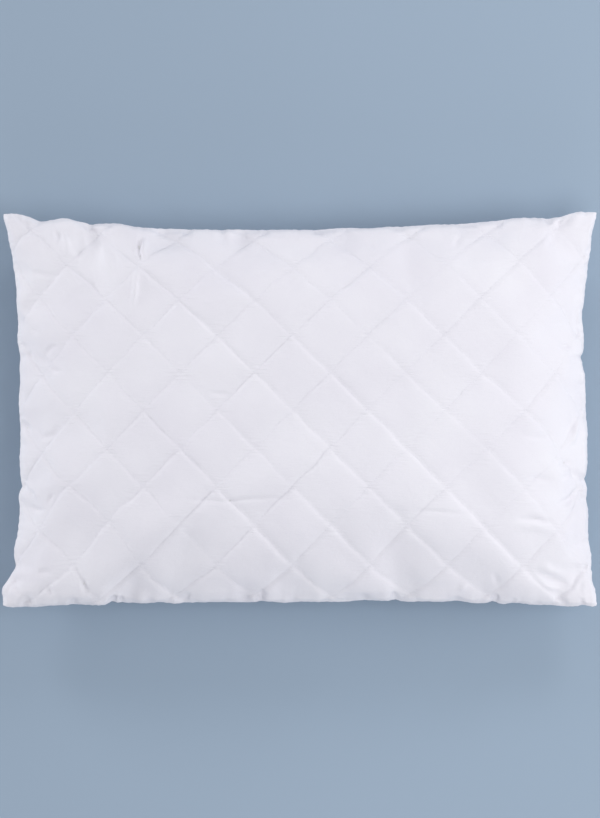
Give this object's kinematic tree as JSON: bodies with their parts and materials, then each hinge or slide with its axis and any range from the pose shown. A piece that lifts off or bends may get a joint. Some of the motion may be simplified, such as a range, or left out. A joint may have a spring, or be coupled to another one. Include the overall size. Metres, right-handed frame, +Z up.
{
  "type": "bed pillow",
  "caption": "Rectangular diamond-quilted bed pillow, fibre filled, with four pointed ears and a plain turned seam.",
  "frame": {"origin": "under the middle of the pillow, on the plane that its back face rests on", "axes": "+Z up through the front face, +X along the long side, +Y towards the long side that bows in most"},
  "size_m": [0.74, 0.49, 0.14],
  "materials": {
    "cover_cloth": "soft matt plain weave",
    "wadding": "matt needled fibre sheet",
    "lining_cloth": "matt spunbonded sheet",
    "quilting_thread": "slightly shiny twisted thread",
    "seam_thread": "slightly shiny twisted thread",
    "fibre": "matt loose fibre"
  },
  "bodies": {
    "root": {"front_cover": "cover_cloth", "front_wadding": "wadding", "front_lining": "lining_cloth", "front_needle_thread": "quilting_thread", "front_bobbin_thread": "quilting_thread", "back_cover": "cover_cloth", "back_wadding": "wadding", "back_lining": "lining_cloth", "back_needle_thread": "quilting_thread", "back_bobbin_thread": "quilting_thread", "fibre_fill": "fibre", "perimeter_seam_thread": "seam_thread", "closing_seam_thread": "seam_thread", "overlock_thread": "seam_thread"}
  },
  "joints": []
}
